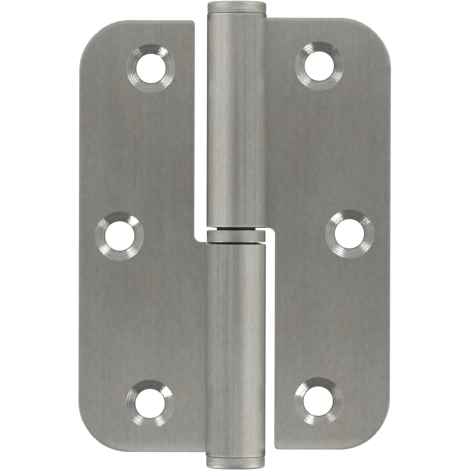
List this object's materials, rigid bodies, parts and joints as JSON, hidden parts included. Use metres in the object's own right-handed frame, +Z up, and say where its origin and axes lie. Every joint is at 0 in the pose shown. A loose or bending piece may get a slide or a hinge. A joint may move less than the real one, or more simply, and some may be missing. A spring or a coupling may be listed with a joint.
{
  "type": "lift-off hinge",
  "caption": "Lift-off door hinge of brushed steel: rolled leaves with round outer corners and countersunk screw holes, a fixed pin, a thrust ring and end caps.",
  "frame": {"origin": "on the pin's axis, midway between the outer faces of the two caps", "axes": "+Z up along the pin, the way the upper leaf lifts off; -Y out of the countersunk faces; +X towards the upper leaf when the hinge lies open flat"},
  "size_m": [0.0642, 0.0122, 0.0958],
  "materials": {
    "leaf_steel": "satin, brushed along the pin",
    "pin_steel": "ground",
    "ring_steel": "turned",
    "cap_steel": "turned"
  },
  "bodies": {
    "frame_side": {"lower_leaf": "leaf_steel", "hinge_pin": "pin_steel", "bottom_cap": "cap_steel"},
    "ring": {"thrust_ring": "ring_steel"},
    "door_side": {"upper_leaf": "leaf_steel", "top_cap": "cap_steel"}
  },
  "joints": [
    {"name": "leaf_swing", "type": "hinge", "parent": "frame_side", "child": "ring", "pos_m": [0, 0, 0], "axis": [0, 0, -1], "range_deg": [-130, 180]},
    {"name": "lift_off", "type": "slide", "parent": "ring", "child": "door_side", "axis": [0, 0, 1], "range_m": [0, 0.034]}
  ]
}
